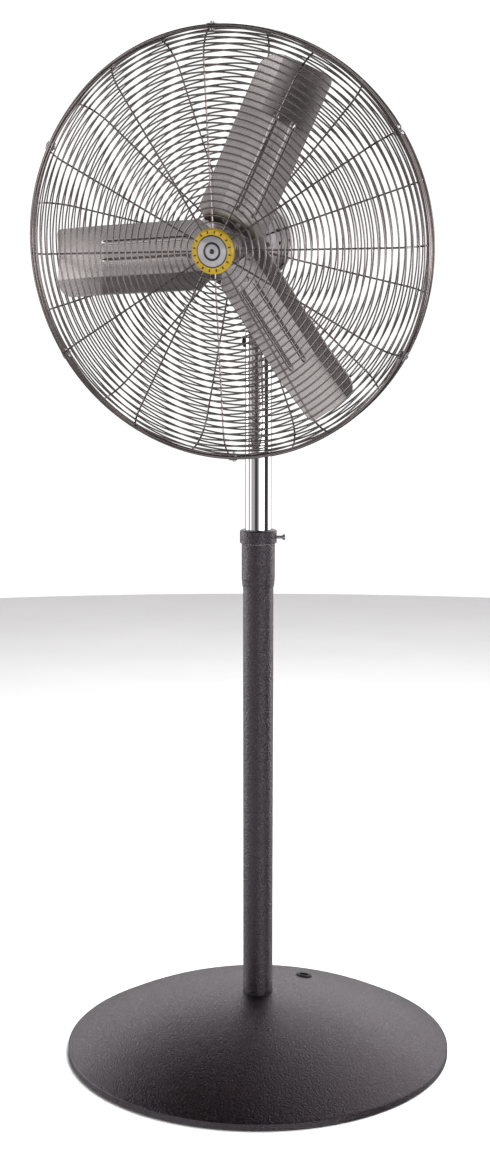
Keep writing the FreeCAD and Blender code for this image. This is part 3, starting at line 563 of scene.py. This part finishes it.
# The studio around the object, in rows by elevation. Each row starts at an elevation and lists
# the side angles, from the way to the camera and positive to its right, at which a panel of the
# given brightness begins.
TO_CAMERA = math.radians(CAMERA_HEADING - 180)
PEAK = 3.5             # at least the brightest panel
PANEL_BLEND = 0.006    # half the width of the blend between panels, as a share of the ring
ROW_BLEND = 0.03       # the same between rows, as a height
WARMTH = (1, 0.975, 0.985)
ROWS = [
    (-90, [(-180, 0.06)]),
    (-58, [(-180, 0.1), (-80, 1.0), (-30, 0.85), (-8, 0.6), (20, 0.1)]),
    (-17, [(-180, 0.12), (-136, 3.4), (-104, 0.45), (-80, 1.5), (-66, 0.45), (-32, 0.06),
           (-4, 0.55), (13, 3.4), (54, 0.05), (98, 3.4), (139, 0.12)]),
    (3, [(-180, 1.9), (-125, 3.0), (-84, 1.5), (-62, 0.65), (-20, 0.1), (13, 1.2), (54, 0.1),
         (98, 1.3), (150, 1.9)]),
    (27, [(-180, 0.08), (-20, 0.1), (60, 0.3), (100, 1.5), (165, 0.9)]),
    (40, [(-180, 0.03), (20, 0.2), (100, 1.4), (160, 0.4)]),
    (62, [(-180, 0.02)]),
]


def fill_ring(ramp, panels):
    """Writes one row's panels as a colour ramp over a full turn that starts at -X."""
    edges = []
    for i, (side, level) in enumerate(panels):
        before = panels[i - 1][1]
        angle = TO_CAMERA + math.radians(side)
        turn = math.atan2(math.sin(angle), math.cos(angle))
        edges.append(((turn + math.pi) / (2 * math.pi), before, level))
    edges.sort()
    stops = []
    for at, before, level in edges:
        stops += [(max(at - PANEL_BLEND, 0), before), (min(at + PANEL_BLEND, 1), level)]
    while len(ramp.elements) < len(stops):
        ramp.elements.new(0.5)
    for element, (at, level) in zip(ramp.elements, stops):
        element.position = at
        element.color = (*(level * share / PEAK for share in WARMTH), 1)


def world_light():
    """The studio's rows of panels, seen by the object only. The camera sees plain white."""
    world = bpy.data.worlds.new("studio")
    bpy.context.scene.world = world
    world.use_nodes = True
    tree = world.node_tree
    tree.nodes.clear()

    def add(kind, **settings):
        made = tree.nodes.new(kind)
        for key, value in settings.items():
            setattr(made, key, value)
        return made

    coords = add("ShaderNodeTexCoord").outputs["Generated"]
    axes = add("ShaderNodeSeparateXYZ")
    tree.links.new(coords, axes.inputs[0])
    angle = add("ShaderNodeMath", operation="ARCTAN2")
    tree.links.new(axes.outputs["Y"], angle.inputs[0])
    tree.links.new(axes.outputs["X"], angle.inputs[1])
    turn = add("ShaderNodeMapRange")
    turn.inputs["From Min"].default_value = -math.pi
    turn.inputs["From Max"].default_value = math.pi
    tree.links.new(angle.outputs[0], turn.inputs["Value"])

    color = None
    for start, panels in ROWS:
        ring = add("ShaderNodeValToRGB")
        tree.links.new(turn.outputs[0], ring.inputs["Fac"])
        fill_ring(ring.color_ramp, panels)
        if color is None:
            color = ring.outputs["Color"]
            continue
        above = add("ShaderNodeMapRange")
        height = math.sin(math.radians(start))
        above.inputs["From Min"].default_value = height - ROW_BLEND
        above.inputs["From Max"].default_value = height + ROW_BLEND
        tree.links.new(axes.outputs["Z"], above.inputs["Value"])
        # The mix node's colour sockets share their names with others, so they go by number.
        mixed = add("ShaderNodeMix", data_type="RGBA")
        tree.links.new(above.outputs[0], mixed.inputs["Factor"])
        tree.links.new(color, mixed.inputs[6])
        tree.links.new(ring.outputs["Color"], mixed.inputs[7])
        color = mixed.outputs[2]

    studio = add("ShaderNodeBackground")
    studio.inputs["Strength"].default_value = PEAK
    tree.links.new(color, studio.inputs["Color"])
    backdrop = add("ShaderNodeBackground")
    backdrop.inputs["Color"].default_value = (1, 1, 1, 1)
    backdrop.inputs["Strength"].default_value = BACKDROP
    seen = add("ShaderNodeLightPath")
    choose = add("ShaderNodeMixShader")
    tree.links.new(seen.outputs["Is Camera Ray"], choose.inputs["Fac"])
    tree.links.new(studio.outputs[0], choose.inputs[1])
    tree.links.new(backdrop.outputs[0], choose.inputs[2])
    out = add("ShaderNodeOutputWorld")
    tree.links.new(choose.outputs[0], out.inputs["Surface"])


def add_floor():
    bpy.ops.mesh.primitive_circle_add(vertices=96, radius=FLOOR_RADIUS, fill_type="NGON")
    floor = bpy.context.object
    floor.name = "floor"
    s = Shader("floor_paint", (0.9, 0.9, 0.9), 0.9)
    s.tint(s.noise(2, 3), (0.89, 0.89, 0.89), (0.92, 0.92, 0.92))
    floor.data.materials.append(s.material)
    floor.visible_glossy = False


def add_lamp():
    """A soft overhead panel, which the glossy surfaces don't mirror."""
    light = bpy.data.lights.new("overhead", "AREA")
    light.shape = "RECTANGLE"
    light.size, light.size_y = LAMP_SIZE
    light.energy = LAMP_POWER
    lamp = bpy.data.objects.new("overhead", light)
    lamp.location = LAMP_PLACE
    lamp.rotation_euler = (Vector(LAMP_AIM) - lamp.location).to_track_quat("-Z", "Y").to_euler()
    lamp.visible_glossy = False
    bpy.context.scene.collection.objects.link(lamp)


def add_camera():
    camera = bpy.data.cameras.new("camera")
    camera.lens = CAMERA_LENS
    view = bpy.data.objects.new("camera", camera)
    view.location = CAMERA_PLACE
    heading, dip = math.radians(CAMERA_HEADING), math.radians(CAMERA_DIP)
    forward = Vector((math.cos(heading) * math.cos(dip), math.sin(heading) * math.cos(dip),
                      math.sin(dip)))
    view.rotation_euler = forward.to_track_quat("-Z", "Y").to_euler()
    bpy.context.scene.collection.objects.link(view)
    bpy.context.scene.camera = view


dress_cad_nodes()
make_guards()
make_mount_face()
make_blades()
make_badge()

add_floor()
world_light()
add_lamp()
add_camera()
bpy.context.scene.view_settings.view_transform = "Standard"
